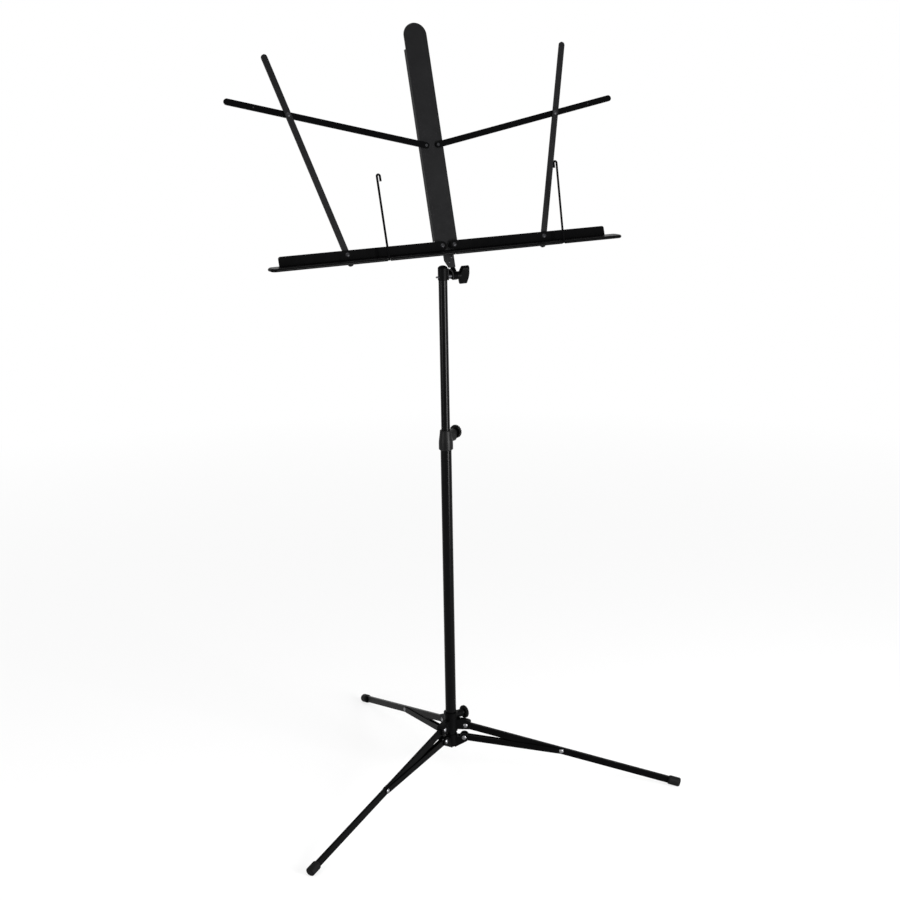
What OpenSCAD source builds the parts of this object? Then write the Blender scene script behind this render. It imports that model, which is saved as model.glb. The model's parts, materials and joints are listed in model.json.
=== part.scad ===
/* [Tripod] */
// Turn of the leg set about the column
leg_turn = -1.8; // [-180:0.1:180]
// Slope of a spread leg below the horizontal
leg_drop = 15.4; // [12:0.1:20]
// Leg pivot to the middle of the foot cap
leg_len = 313.3; // [260:1:380]
// Radius of the circle of leg pivots
leg_pivot_r = 21; // [20:0.5:26]
// Width of the leg channel
leg_w = 4.4; // [3.6:0.1:6]
// Height of the leg channel
leg_h = 9.4; // [8:0.1:11]
// Sheet thickness of the leg channel
leg_sheet = 0.9; // [0.6:0.1:1.2]
// Leg pivot to the rivet that joins leg and strut
link_at = 144; // [110:1:170]
// Height of the leg pivots above the strut pivots
pivot_rise = 18.5; // [18:0.5:24]
// Radius of the circle of strut pivots
strut_pivot_r = 19; // [18.5:0.5:24]
// Sheet thickness of the strut channel
strut_sheet = 1.2; // [0.8:0.1:1.5]
// Height of the strut channel
strut_h = 8.4; // [8:0.1:10]
// Length of the web that joins the strut's two sides
strut_web = 74; // [40:1:76]
// Radius of the strut's riveted eye
strut_eye_r = 4; // [3.6:0.1:4.2]
// Length over which the strut narrows to its eye
strut_taper = 9; // [6:0.5:14]

/* [Feet] */
// Radius of the foot cap
foot_r = 6.5; // [6:0.1:8]
// Length of the foot cap
foot_len = 18; // [14:0.5:24]
// Rounding of the foot cap's edges
foot_round = 2.5; // [1.5:0.1:3]
// Depth of the flat that the floor presses on each cap
foot_flat = 0.8; // [0.4:0.1:1.2]
// Depth of the cap's socket for the leg
foot_socket = 13; // [10:0.5:13.5]

/* [Column] */
// Outer radius of the lower tube
lower_r = 7.7; // [7.5:0.1:7.8]
// Wall of the lower tube
lower_wall = 1; // [0.8:0.1:1.2]
// Length of the lower tube
lower_len = 457.6; // [400:0.5:520]
// Outer radius of the upper tube
upper_r = 6.1; // [5.7:0.1:6.2]
// Wall of the upper tube
upper_wall = 0.8; // [0.6:0.1:1]
// Length of the upper tube
upper_len = 458; // [400:1:520]
// How far the upper tube is drawn out of the height sleeve
upper_out = 226; // [120:0.1:300]
// Length of the guide plug below the upper tube
plug_len = 14; // [10:1:20]
// Length of the guide plug's spigot inside the upper tube
plug_spigot = 14; // [10:1:20]

/* [Hub] */
// Radius of the hub body round the tube
hub_r = 9; // [8.8:0.1:10]
// Height of the hub body
hub_h = 19.8; // [18:0.1:22]
// Strut pivots above the underside of the hub
hub_pivot_up = 15; // [14:0.1:16]
// Radius of the hub's ears
ear_r = 6.6; // [6:0.1:7.5]
// Upper edge of the hub's forks above the strut pivots
fork_top = 1.8; // [0.5:0.1:3]
// Radius of the hub's underside
hub_foot_r = 5.5; // [4:0.1:7]
// Height of the cone that leads from the underside to the hub's full radius
hub_cone = 2.6; // [1:0.1:3]
// Thickness of the hub's floor under the tube
hub_floor = 3; // [2:0.5:5]

/* [Collar] */
// Radius of the sliding leg collar
collar_r = 9.4; // [9:0.1:10.5]
// Collar reach below the leg pivots
collar_below = 9; // [7:0.1:10]
// Collar reach above the leg pivots
collar_above = 20; // [19:0.5:26]
// How far the rim stands out from the collar
rim_out = 1; // [0.6:0.1:2]
// Height of the rim
rim_h = 2.6; // [2:0.1:4]
// Underside of the hoods above the collar's
hood_lift = 3.5; // [2:0.1:5]
// Reach of the leg hoods beyond the leg pivots
hood_reach = 7.8; // [7:0.1:9]
// Height of the hoods at the collar above the leg pivots
hood_rise = 9.4; // [8.8:0.1:11]
// Height of the hoods' outer edge above the leg pivots
hood_edge = 4.5; // [4.3:0.1:6]
// Solid root of the hoods beside the collar
hood_root = 0.5; // [0.3:0.1:1]
// Wall of the hoods' cheeks
hood_wall = 2.2; // [1.8:0.1:3]
// Thickness of the hoods' roof
hood_roof = 1.2; // [0.8:0.1:1.3]
// Wall of the hub's forks
fork_wall = 1.5; // [1.2:0.1:2]

/* [Clamp screws] */
// Azimuth of the collar screw from the right leg
collar_screw_turn = 42; // [38:1:64]
// Collar screw above the leg pivots
collar_screw_up = 13.2; // [12:0.1:14]
// Azimuth of the sleeve screw
sleeve_screw_turn = 28; // [-180:1:180]
// Radius of a screw boss
boss_r = 5.6; // [5:0.1:6]
// Distance from the column axis to the end of a boss
boss_reach = 18.5; // [16:0.5:20]
// Radius of a knob
knob_r = 9.4; // [8:0.1:10]
// Thickness of a knob's disc
knob_t = 5; // [4:0.1:7]
// Length of the neck between boss and disc
knob_neck = 3; // [2:0.1:5]
// Radius of the neck between boss and disc
knob_neck_r = 4.6; // [3.6:0.1:5.5]
// Bevel of a knob's rim
knob_edge = 1.3; // [0.6:0.1:1.6]
// Radius of a knob's grip flutes
flute_r = 0.9; // [0.6:0.1:1.1]
// Number of grip flutes round a knob
knob_flutes = 18; // [12:1:24]
// Thickness of a knob in front of its screw
screw_cover = 2; // [1.5:0.1:3]
// Radius of the clamp screws
screw_r = 2.5; // [2:0.1:3]

/* [Height sleeve] */
// Length of the height sleeve
sleeve_len = 28; // [26:0.1:32]
// Largest radius of the height sleeve
sleeve_r = 10; // [9.6:0.1:10.5]
// Radius at the top of the height sleeve
sleeve_top_r = 8.2; // [8:0.1:9]
// Height at which the height sleeve starts to narrow
sleeve_belly = 11; // [8:0.5:15]
// Bevel of the height sleeve's rims
sleeve_edge = 1.4; // [0.8:0.1:1.8]
// Length of the skirt under the height sleeve's screw boss
boss_skirt = 6.4; // [3:0.1:8]
// Depth of the socket for the lower tube
sleeve_socket = 13; // [11:0.5:14]
// Height of the sleeve screw above the underside of the sleeve
sleeve_screw_up = 20.5; // [18.5:0.1:21]

/* [Tilt head] */
// Length of the tilt head below its dome
head_len = 16; // [14:0.5:20]
// Wall of the tilt head round the tube
head_wall = 0.7; // [0.6:0.1:1.2]
// Height of the tilt bolt above the underside of the head
bolt_up = 4.5; // [4:0.1:8]
// Radius of the tilt bolt
bolt_r = 2.5; // [2:0.1:3]
// Radius of the bolt's tail
bolt_tail_r = 1.2; // [1:0.1:2]
// Reach of the bolt's tail beyond the head
bolt_tail = 3.4; // [1:0.1:5]
// Rise of the head's arch above the tilt bolt
arch_rise = 11; // [9:0.1:12]
// Width of the head's arch along Y
arch_w = 10; // [9:0.1:11]
// Wall of the head's arch
arch_wall = 1.6; // [1.2:0.1:2]
// Width of the bright spacer ring
spacer_w = 5.3; // [4.5:0.1:6]
// Radius of the bright spacer ring
spacer_r = 3.4; // [3:0.1:3.5]
// Thickness of the tongue's ear
ear_t = 6; // [5.5:0.1:6.5]
// Radius of the tongue's ear round the bolt
tongue_r = 5.8; // [5:0.1:7]
// Radius of the outer washer
washer_r = 5.4; // [4:0.1:6]
// Thickness of the outer washer
washer_t = 2.2; // [0.8:0.1:3]
// Length of the wing knob's hub
wing_hub = 2; // [1:0.1:4]
// Span of the wing knob
wing_span = 27; // [22:0.5:34]
// Depth of the wing along the bolt
wing_depth = 13; // [11:0.5:16]
// Thickness of the wing
wing_t = 8; // [7:0.1:9]
// Radius of the wing knob's hub
wing_hub_r = 5.4; // [4:0.1:6]
// Span of the wing knob's middle
wing_waist = 13; // [10:0.1:18]
// Slant of the wing's inner flanks along the bolt
wing_flank = 2.2; // [1:0.1:5]
// Bevel of the wing's outer corners along the bolt
wing_bevel = 1.2; // [0.6:0.1:4]
// Depth of the bolt inside the wing
bolt_in_wing = 5; // [3:0.5:8]
// Turn of the wing from the vertical
wing_turn = 20; // [-90:1:90]

/* [Desk] */
// Lean of the desk back from the vertical
desk_tilt = 16.7; // [5:0.1:40]
// Middle of the desk to the right of the column axis
desk_x = 12.4; // [11.5:0.1:13.5]
// Ledge datum above the tilt bolt, along the desk
ledge_up = 30.8; // [29:0.1:34]
// Ledge datum in front of the tilt bolt
ledge_fore = 5.8; // [5.4:0.1:6.2]
// Width of the central plate
spine_w = 34; // [32:1:40]
// Height of the round head's centre above the ledge datum
spine_top = 298.5; // [260:0.5:340]
// Depth of the flanges behind the central plate
spine_flange = 5; // [3:0.5:8]
// Share of the plate's height that the flanges run along
flange_share = 0.88; // [0.6:0.01:0.9]
// Reach of the tab under the ledge to the left of the tongue's ear
tab_w = 14.2; // [13:0.1:16]
// Straight side of the tab below the ledge datum
tab_side = 9; // [6:0.1:10]
// Bottom of the tab below the ledge datum
tab_drop = 19.4; // [18:0.1:19.6]
// Width of the tab's bottom beside the tongue's ear
tab_foot = 2.8; // [1.5:0.1:4.4]
// Upper rivet of the tongue from the right side of its ear
tab_rivet_in = 4.1; // [3.5:0.1:5]
// Upper rivet of the tongue below the ledge datum
tab_rivet_down = 5.6; // [4:0.1:8]
// Step from the upper to the lower rivet of the tongue, to the left and down
tab_rivet_pitch = [4.4, 6.2]; // [3:0.1:7]
// Thickness of the flat bars and the central plate
bar_t = 2; // [1.6:0.1:2.5]
// Width of the flat arms
bar_w = 8.6; // [7.5:0.1:9]
// Free space between riveted layers
layer_gap = 0.2; // [0.1:0.05:0.3]

/* [Ledge] */
// Middle of the desk to the tip of the ledge
ledge_half = 265; // [230:1:290]
// Middle of the desk to the end of the back plate
plate_half = 247; // [210:1:262]
// Height of the tray's bend above the ledge datum
bend_v = 4; // [3:0.1:5]
// Height of the back plate above the bend
plate_h = 12.4; // [11:0.1:16]
// Rounding of the back plate's outer corner
plate_corner = 3; // [1:0.5:5]
// Depth of the tray
tray_depth = 20.5; // [17:0.1:28]
// Rounding of the tray's outer corners
tray_corner = 5; // [4:0.5:8]
// Fall of the tray from square to the desk
tray_fall = 15; // [0:0.5:20]
// Sheet thickness of the ledge
sheet = 1.2; // [1:0.1:1.5]
// Radius of the rolled front hem
hem_r = 2.2; // [2:0.05:2.4]
// Depth to which the hem's round stays below the tray's face
hem_bite = 0.1; // [0.05:0.05:0.3]
// Gap between the two ledge halves
ledge_gap = 2; // [1:0.5:4]

/* [Arms] */
// Ledge and shallow arm pivots from the middle of the desk
pivot_x = 9; // [8:0.5:11]
// Height of the shallow arm pivots above the ledge datum
arm_pivot_v = 148; // [130:1:160]
// Ledge pivots to the steep arm pivots
steep_at = 140.3; // [120:0.1:150]
// Length of a shallow arm past its pivot
shallow_len = 284; // [250:1:300]
// Length of a steep arm past its pivot
steep_len = 276; // [250:1:300]
// Tail of a steep arm below its pivot
steep_tail = 11.6; // [8:0.1:18]
// Spread of the left shallow arm from the vertical
shallow_left = 75; // [60:0.1:85]
// Spread of the right shallow arm from the vertical
shallow_right = 80; // [60:0.1:85]
// Outward lean of the steep arms
steep_lean = 15.7; // [5:0.1:25]
// Radius of a shallow arm's stop pin
stop_r = 1; // [0.8:0.1:1.5]
// Stop pin of a shallow arm from its tip
stop_from_tip = 36; // [20:1:60]

/* [Page retainers] */
// Left retainer from the middle of the desk
retainer_left = 98.8; // [60:0.1:180]
// Right retainer from the middle of the desk
retainer_right = 168.6; // [60:0.1:180]
// Height of a retainer above its hinge
retainer_h = 113; // [80:1:140]
// Radius of the retainer wire
wire_r = 1.5; // [1:0.05:1.6]
// Radius of the wire's bends
wire_bend = 2.2; // [1.8:0.1:3]
// Length of the hook's short leg
hook_leg = 7; // [4:0.5:12]
// Length of the foot inside the hem
foot_in_hem = 10; // [8:0.5:16]
// Outward lean of the right wire
retainer_lean = 3.8; // [-5:0.1:5]

/* [Rivets and fits] */
// Radius of the rivets
rivet_r = 2; // [1.5:0.1:2.2]
// Radius of the rivet heads
rivet_head_r = 3.2; // [2.8:0.1:3.6]
// Radius of the tongue's smaller rivets
tongue_rivet_r = 1.4; // [1:0.1:1.6]
// Radius of the tongue's rivet heads
tongue_head_r = 2.3; // [1.9:0.1:2.8]
// Height of the rivet heads
rivet_head_h = 1.2; // [0.8:0.1:1.4]
// Radial clearance of turning and sliding fits
fit = 0.06; // [0.02:0.01:0.09]
// Side clearance of a bar in its fork
side_gap = 0.3; // [0.2:0.05:0.4]

/* [Hidden] */
$fn = 64;
SIDES = ["left", "right"];

// Heights of the tripod, worked up from the floor
leg_pivot_z = (leg_len + foot_len / 2 - foot_round) * sin(leg_drop)
    + (foot_r - foot_round) * cos(leg_drop) + foot_round - foot_flat;
strut_pivot_z = leg_pivot_z - pivot_rise;
hub_z = strut_pivot_z - hub_pivot_up;
tube_z = hub_z + hub_floor;
link_r = leg_pivot_r + link_at * cos(leg_drop);
link_z = leg_pivot_z - link_at * sin(leg_drop);
strut_len = norm([link_r - strut_pivot_r, link_z - strut_pivot_z]);
strut_drop = atan2(strut_pivot_z - link_z, link_r - strut_pivot_r);
strut_gap = leg_w + 2 * side_gap;
strut_w = strut_gap + 2 * strut_sheet;
hub_gap = strut_w + 2 * side_gap;
leg_end = leg_len + foot_len / 2 - (foot_len - foot_socket);
function leg_azimuth(i) = leg_turn - 150 + 120 * (i - 1);

// Collar and clamp screws
collar_z = leg_pivot_z - collar_below;
collar_h = collar_below + collar_above;
collar_screw_z = leg_pivot_z + collar_screw_up;
collar_screw_azimuth = leg_azimuth(2) + collar_screw_turn;
knob_at = boss_reach + side_gap;
knob_face = knob_neck + knob_t;
screw_in_knob = knob_face - screw_cover;

// Column
lower_inner_r = lower_r - lower_wall;
upper_inner_r = upper_r - upper_wall;
sleeve_z = tube_z + lower_len - sleeve_socket;
sleeve_top_z = sleeve_z + sleeve_len;
head_z = sleeve_top_z + upper_out - head_len;
upper_top_z = head_z + head_len;
upper_z = upper_top_z - upper_len;
head_r = upper_r + head_wall;
bolt_z = head_z + bolt_up;

// Places along the tilt bolt
spacer_x = head_r + layer_gap;
arch_swell = sqrt(1 - pow(spacer_r / (arch_rise - arch_wall), 2));
arch_reach = head_r + (spacer_w + layer_gap) / arch_swell + layer_gap + arch_wall;
tongue_x = arch_reach + layer_gap;
washer_x = tongue_x + ear_t + layer_gap;
wing_x = washer_x + washer_t + layer_gap;
wing_len = wing_hub + wing_depth;

// Layers of the desk, measured forward from the back of the ledge plates
steep_d = -layer_gap - bar_t;
shallow_d = steep_d - layer_gap - bar_t;
spine_d = shallow_d - layer_gap - bar_t;
tongue_d = spine_d - bar_t;
ledge_pivot_v = bend_v + plate_h / 2;
steep_x = pivot_x + steep_at;
steep_v = ledge_pivot_v;
neck_x0 = tongue_x - desk_x;
neck_x1 = neck_x0 + ear_t;
ear_top = bend_v - 1;
tongue_rivets_at = [
    [neck_x1 - tab_rivet_in, -tab_rivet_down],
    [neck_x1 - tab_rivet_in - tab_rivet_pitch[0], -tab_rivet_down - tab_rivet_pitch[1]]
];

// Tray and its hem
tray_reach = tray_depth - hem_r;
tray_end = ledge_half - hem_r;
hem_drop = hem_r + hem_bite;
hem_d = sheet + tray_reach * cos(tray_fall) - hem_drop * sin(tray_fall);
hem_v = bend_v - tray_reach * sin(tray_fall) - hem_drop * cos(tray_fall);
hem_bore_r = wire_r + fit;

// Crossing of a shallow and a steep arm, as distances along each arm
function cross_p(spread) =
    let (dv = arm_pivot_v - steep_v, k = tan(steep_lean))
    (steep_x - pivot_x + dv * k) / (sin(spread) - cos(spread) * k);
function cross_q(spread) =
    (arm_pivot_v - steep_v + cross_p(spread) * cos(spread)) / cos(steep_lean);
function spread_of(side) = side == "left" ? shallow_left : shallow_right;
function retainer_x(side) = side == "left" ? retainer_left : retainer_right;
function retainer_lean_of(side) = side == "left" ? 0 : retainer_lean;

module place_leg(i) rotate([0, 0, leg_azimuth(i)]) children();

module at_leg_pivot(i)
    place_leg(i) translate([leg_pivot_r, 0, leg_pivot_z]) rotate([0, leg_drop, 0]) children();

module at_strut_pivot(i)
    place_leg(i) translate([strut_pivot_r, 0, strut_pivot_z]) rotate([0, strut_drop, 0]) children();

// Upright outline of width w, standing in the X-Z plane and centred on Y
module upright(w) rotate([90, 0, 0]) linear_extrude(w, center = true) children();

// Round pin along Y from y0 to y1
module pin_y(r, y0, y1) translate([0, y0, 0]) rotate([-90, 0, 0]) cylinder(r = r, h = y1 - y0);

// Round pin along X from x0 to x1
module pin_x(r, x0, x1) translate([x0, 0, 0]) rotate([0, 90, 0]) cylinder(r = r, h = x1 - x0);

// Domed rivet head rising from the X-Y plane
module rivet_dome(r = rivet_head_r)
    rotate_extrude() {
        dome = (r * r + rivet_head_h * rivet_head_h) / (2 * rivet_head_h);
        intersection() {
            translate([0, rivet_head_h - dome]) circle(r = dome, $fn = 96);
            square([r, rivet_head_h]);
        }
    }

// Rivet along Y: shank from y0 to y1 with a head beyond each end that is asked for
module rivet_y(y0, y1, low = true, high = true, r = rivet_r, head_r = rivet_head_r) {
    pin_y(r, y0, y1);
    if (low) translate([0, y0, 0]) rotate([90, 0, 0]) rivet_dome(head_r);
    if (high) translate([0, y1, 0]) rotate([-90, 0, 0]) rivet_dome(head_r);
}

module ring(r_out, r_in, h)
    difference() {
        cylinder(r = r_out, h = h);
        translate([0, 0, -1]) cylinder(r = r_in, h = h + 2);
    }

// ---- column ----

module lower_tube()
    color("#1c1d1f")
        translate([0, 0, tube_z]) ring(lower_r, lower_inner_r, lower_len);

module upper_tube()
    color("#26272a")
        difference() {
            translate([0, 0, upper_z]) ring(upper_r, upper_inner_r, upper_len);
            translate([0, 0, bolt_z]) pin_x(bolt_r + fit, -upper_r - 1, upper_r + 1);
        }

module guide_plug()
    color("#303134") {
        translate([0, 0, upper_z - plug_len]) cylinder(r = lower_inner_r - fit, h = plug_len);
        translate([0, 0, upper_z]) cylinder(r = upper_inner_r - fit, h = plug_spigot);
    }

// ---- hub ----

// Point where a line from p touches the lower side of a circle with centre c
function tangent_point(p, c, r) =
    let (v = c - p, d = norm(v), a = atan2(v[1], v[0]) - asin(r / d))
    p + sqrt(d * d - r * r) * [cos(a), sin(a)];

// Side of a fork, with the strut pivot at zero height
module hub_outline() {
    ear = [strut_pivot_r, 0];
    underside = [hub_foot_r, -hub_pivot_up];
    translate(ear) circle(r = ear_r);
    polygon([
        underside, [hub_foot_r, fork_top], ear + [0, fork_top], ear,
        tangent_point(underside, ear, ear_r)
    ]);
}

module tube_hub()
    color("#222326")
        difference() {
            union() {
                translate([0, 0, hub_z]) rotate_extrude() polygon([
                    [0, 0], [hub_foot_r, 0], [hub_r, hub_cone], [hub_r, hub_h], [0, hub_h]
                ]);
                for (i = [1:3])
                    place_leg(i) translate([0, 0, strut_pivot_z])
                        upright(hub_gap + 2 * fork_wall) hub_outline();
            }
            translate([0, 0, tube_z]) cylinder(r = lower_r, h = hub_h);
            for (i = [1:3])
                place_leg(i) {
                    translate([hub_r + fork_wall, -hub_gap / 2, hub_z - 1])
                        cube([strut_pivot_r + ear_r, hub_gap, hub_h + 2 * ear_r]);
                    translate([strut_pivot_r, 0, strut_pivot_z])
                        pin_y(rivet_r, -hub_gap, hub_gap);
                }
        }

module hub_rivets()
    color("#b9babc")
        for (i = [1:3])
            place_leg(i) translate([strut_pivot_r, 0, strut_pivot_z])
                rivet_y(-hub_gap / 2 - fork_wall, hub_gap / 2 + fork_wall);

// ---- leg collar ----

// Side of a hood from the tube out, with its roof lowered and its open ends run out
module hood_outline(lower = 0, run_out = 0) {
    base = hood_lift - collar_below - run_out;
    reach = leg_pivot_r + hood_reach;
    polygon(concat(
        [[lower_r, base], [reach + run_out, base], [reach + run_out, hood_edge - lower]],
        [for (a = [0:10:90])
            [lower_r + (reach - lower_r) * cos(a),
             hood_edge - lower + (hood_rise - hood_edge) * sin(a)]]
    ));
}

module screw_boss(z, azimuth, tall = 0)
    translate([0, 0, z]) rotate([0, 0, azimuth]) rotate([0, 90, 0])
        linear_extrude(boss_reach) {
            circle(r = boss_r);
            if (tall > 0) {
                translate([tall, 0]) circle(r = boss_r);
                translate([0, -boss_r]) square([tall, 2 * boss_r]);
            }
        }

module screw_hole(z, azimuth)
    translate([0, 0, z]) rotate([0, 0, azimuth]) pin_x(screw_r, 0, boss_reach + 1);

module leg_collar()
    color("#2b2c2f")
        difference() {
            union() {
                translate([0, 0, collar_z]) cylinder(r = collar_r, h = collar_h);
                translate([0, 0, collar_z + collar_h - rim_h])
                    cylinder(r = collar_r + rim_out, h = rim_h);
                for (i = [1:3])
                    place_leg(i) translate([0, 0, leg_pivot_z])
                        upright(leg_w + 2 * side_gap + 2 * hood_wall) hood_outline();
                screw_boss(collar_screw_z, collar_screw_azimuth);
            }
            translate([0, 0, collar_z - 1]) cylinder(r = lower_r + fit, h = collar_h + 2);
            for (i = [1:3])
                place_leg(i) translate([0, 0, leg_pivot_z]) {
                    intersection() {
                        upright(leg_w + 2 * side_gap) hood_outline(hood_roof, leg_pivot_r);
                        translate([collar_r + hood_root, -leg_w, -2 * leg_pivot_r])
                            cube([4 * leg_pivot_r, 2 * leg_w, 4 * leg_pivot_r]);
                    }
                    translate([leg_pivot_r, 0, 0]) pin_y(rivet_r, -2 * leg_w, 2 * leg_w);
                }
            screw_hole(collar_screw_z, collar_screw_azimuth);
        }

module collar_rivets()
    color("#b9babc")
        for (i = [1:3])
            place_leg(i) translate([leg_pivot_r, 0, leg_pivot_z])
                rivet_y(-leg_w / 2 - side_gap - hood_wall, leg_w / 2 + side_gap + hood_wall);

// ---- knobs and clamp screws ----

module knob_body()
    difference() {
        rotate([0, 90, 0]) difference() {
            rotate_extrude() polygon([
                [0, 0], [knob_neck_r - 0.4, 0], [knob_neck_r, knob_neck],
                [knob_r - knob_edge, knob_neck], [knob_r, knob_neck + knob_edge],
                [knob_r, knob_face - knob_edge], [knob_r - knob_edge, knob_face - 0.2],
                [knob_r - 2 * knob_edge, knob_face], [0, knob_face + 0.4]
            ]);
            for (k = [0:knob_flutes - 1])
                rotate([0, 0, 360 * k / knob_flutes])
                    translate([knob_r + flute_r / 2, 0, knob_neck - 1]) cylinder(r = flute_r, h = knob_t + 3);
        }
        pin_x(screw_r - fit, -1, screw_in_knob);
    }

module place_screw(z, azimuth) translate([0, 0, z]) rotate([0, 0, azimuth]) children();

module collar_knob()
    color("#2e2f32")
        place_screw(collar_screw_z, collar_screw_azimuth) translate([knob_at, 0, 0]) knob_body();

module collar_screw()
    color("#8d8f92")
        place_screw(collar_screw_z, collar_screw_azimuth)
            pin_x(screw_r - fit, lower_r + side_gap, knob_at + screw_in_knob);

module sleeve_knob()
    color("#2e2f32")
        place_screw(sleeve_z + sleeve_screw_up, sleeve_screw_turn)
            translate([knob_at, 0, 0]) knob_body();

module sleeve_screw()
    color("#8d8f92")
        place_screw(sleeve_z + sleeve_screw_up, sleeve_screw_turn)
            pin_x(screw_r - fit, upper_r + side_gap, knob_at + screw_in_knob);

module height_sleeve()
    color("#38393c")
        difference() {
            union() {
                translate([0, 0, sleeve_z]) rotate_extrude() polygon([
                    [0, 0], [sleeve_r - sleeve_edge, 0], [sleeve_r, sleeve_edge],
                    [sleeve_r, sleeve_belly], [sleeve_top_r, sleeve_len - 2 * sleeve_edge],
                    [sleeve_top_r, sleeve_len - sleeve_edge / 2],
                    [sleeve_top_r - sleeve_edge / 2, sleeve_len], [0, sleeve_len]
                ]);
                intersection() {
                    screw_boss(sleeve_z + sleeve_screw_up, sleeve_screw_turn, boss_skirt);
                    translate([0, 0, sleeve_z])
                        cylinder(r = 2 * boss_reach, h = sleeve_len - sleeve_edge / 2);
                }
            }
            translate([0, 0, sleeve_z - 1]) cylinder(r = lower_r, h = sleeve_socket + 1);
            translate([0, 0, sleeve_z]) cylinder(r = upper_r + fit, h = sleeve_len + 1);
            screw_hole(sleeve_z + sleeve_screw_up, sleeve_screw_turn);
        }

// ---- legs, feet and struts ----

module bar_outline(r, length, tail = 0) {
    translate([-tail, 0]) circle(r = r);
    translate([-tail, -r]) square([length + tail, 2 * r]);
}

module leg(i)
    color("#1d1e20")
        at_leg_pivot(i) difference() {
            upright(leg_w) bar_outline(leg_h / 2, leg_end);
            translate([-leg_h, -leg_w / 2 + leg_sheet, -leg_h])
                cube([leg_len + 2 * foot_len, leg_w - 2 * leg_sheet, 1.5 * leg_h - leg_sheet]);
            pin_y(rivet_r + fit, -leg_w, leg_w);
            translate([link_at, 0, 0]) pin_y(rivet_r, -leg_w, leg_w);
        }

module foot(i)
    color("#3a3b3d")
        difference() {
            at_leg_pivot(i) difference() {
                translate([leg_len - foot_len / 2, 0, 0]) rotate([0, 90, 0]) rotate_extrude() {
                    square([foot_r - foot_round, foot_len]);
                    translate([0, foot_round]) square([foot_r, foot_len - 2 * foot_round]);
                    for (y = [foot_round, foot_len - foot_round])
                        translate([foot_r - foot_round, y]) circle(r = foot_round);
                }
                upright(leg_w) bar_outline(leg_h / 2, leg_end);
            }
            place_leg(i) translate([0, -foot_len, -foot_len]) cube([2 * leg_len, 2 * foot_len, foot_len]);
        }

module strut_outline() {
    bar_outline(strut_h / 2, strut_len - strut_taper);
    translate([strut_len, 0]) circle(r = strut_eye_r);
    polygon([
        [strut_len - strut_taper, -strut_h / 2], [strut_len, -strut_eye_r],
        [strut_len, strut_eye_r], [strut_len - strut_taper, strut_h / 2]
    ]);
}

module strut(i)
    color("#1d1e20")
        at_strut_pivot(i) difference() {
            upright(strut_w) strut_outline();
            translate([-strut_h, -strut_gap / 2, strut_sheet - strut_h / 2])
                cube([strut_len + 2 * strut_h, strut_gap, strut_h]);
            translate([strut_web, -strut_gap / 2, -strut_h])
                cube([strut_len, strut_gap, 2 * strut_h]);
            pin_y(rivet_r + fit, -strut_w, strut_w);
            translate([strut_len, 0, 0]) pin_y(rivet_r, -strut_w, strut_w);
        }

// Two ends of the leg-to-strut rivet, each in one side of the strut
module link_head(i)
    color("#b9babc")
        at_strut_pivot(i) translate([strut_len, 0, 0]) {
            rivet_y(-strut_w / 2, -strut_gap / 2, true, false);
            rivet_y(strut_gap / 2, strut_w / 2, false, true);
        }

// Middle of the leg-to-strut rivet, in the leg
module link_pin(i)
    color("#b9babc")
        at_leg_pivot(i) translate([link_at, 0, 0]) pin_y(rivet_r, -leg_w / 2, leg_w / 2);

// ---- tilt head ----

// Arch over the spacer ring, from the head's side to the tongue, with the bolt at zero height.
// A web closes it behind.
module arch_outline(inset) {
    root = head_r - arch_wall + inset;
    polygon(concat(
        [[root, -bolt_up - inset], [arch_reach - inset, -bolt_up - inset]],
        [for (a = [0:10:90])
            [head_r + (arch_reach - inset - head_r) * cos(a), (arch_rise - inset) * sin(a)]],
        [[root, arch_rise - inset]]
    ));
}

module tilt_head()
    color("#242528")
        difference() {
            union() {
                translate([0, 0, head_z]) cylinder(r = head_r, h = head_len);
                translate([0, 0, upper_top_z]) rotate_extrude() intersection() {
                    scale([1, 0.6]) circle(r = head_r);
                    square([head_r, head_r]);
                }
                translate([0, 0, bolt_z]) difference() {
                    upright(arch_w) arch_outline(0);
                    translate([0, -arch_wall, 0]) upright(arch_w) arch_outline(arch_wall);
                }
            }
            translate([0, 0, head_z - 1]) cylinder(r = upper_r, h = head_len + 1);
            translate([0, 0, bolt_z]) pin_x(bolt_r, -head_r - 1, arch_reach + 1);
        }

module tilt_bolt()
    color("#8d8f92")
        translate([0, 0, bolt_z]) {
            pin_x(bolt_tail_r, -head_r - bolt_tail, -bolt_r);
            pin_x(bolt_r, -head_r + head_wall / 2, wing_x + wing_hub + bolt_in_wing);
        }

module disc_x(r, x0, t)
    translate([0, 0, bolt_z]) difference() {
        pin_x(r, x0, x0 + t);
        pin_x(bolt_r + fit, x0 - 1, x0 + t + 1);
    }

module spacer_ring() color("#b9babc") disc_x(spacer_r, spacer_x, spacer_w);

module outer_washer() color("#9a9c9f") disc_x(washer_r, washer_x, washer_t);

module wing_knob()
    color("#232427")
        translate([wing_x, 0, bolt_z]) rotate([wing_turn, 0, 0]) difference() {
            union() {
                pin_x(wing_hub_r, 0, wing_hub + 1);
                hull()
                    for (s = [-1, 1]) {
                        translate([0, 0, s * (wing_waist - wing_t) / 2])
                            pin_x(wing_t / 2, wing_hub, wing_len, $fn = 32);
                        translate([0, 0, s * (wing_span - wing_t) / 2])
                            pin_x(wing_t / 2, wing_hub + wing_flank, wing_len - wing_bevel, $fn = 32);
                    }
            }
            pin_x(bolt_r + fit, -1, wing_hub + bolt_in_wing + 1);
        }

// ---- desk ----

module desk_frame()
    translate([desk_x, 0, bolt_z]) rotate([-desk_tilt, 0, 0])
        translate([0, -ledge_fore, ledge_up]) children();

// Flat layer of the desk: back face at depth d, thickness t
module layer(d, t)
    translate([0, -d, 0]) rotate([90, 0, 0]) linear_extrude(t) children();

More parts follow.
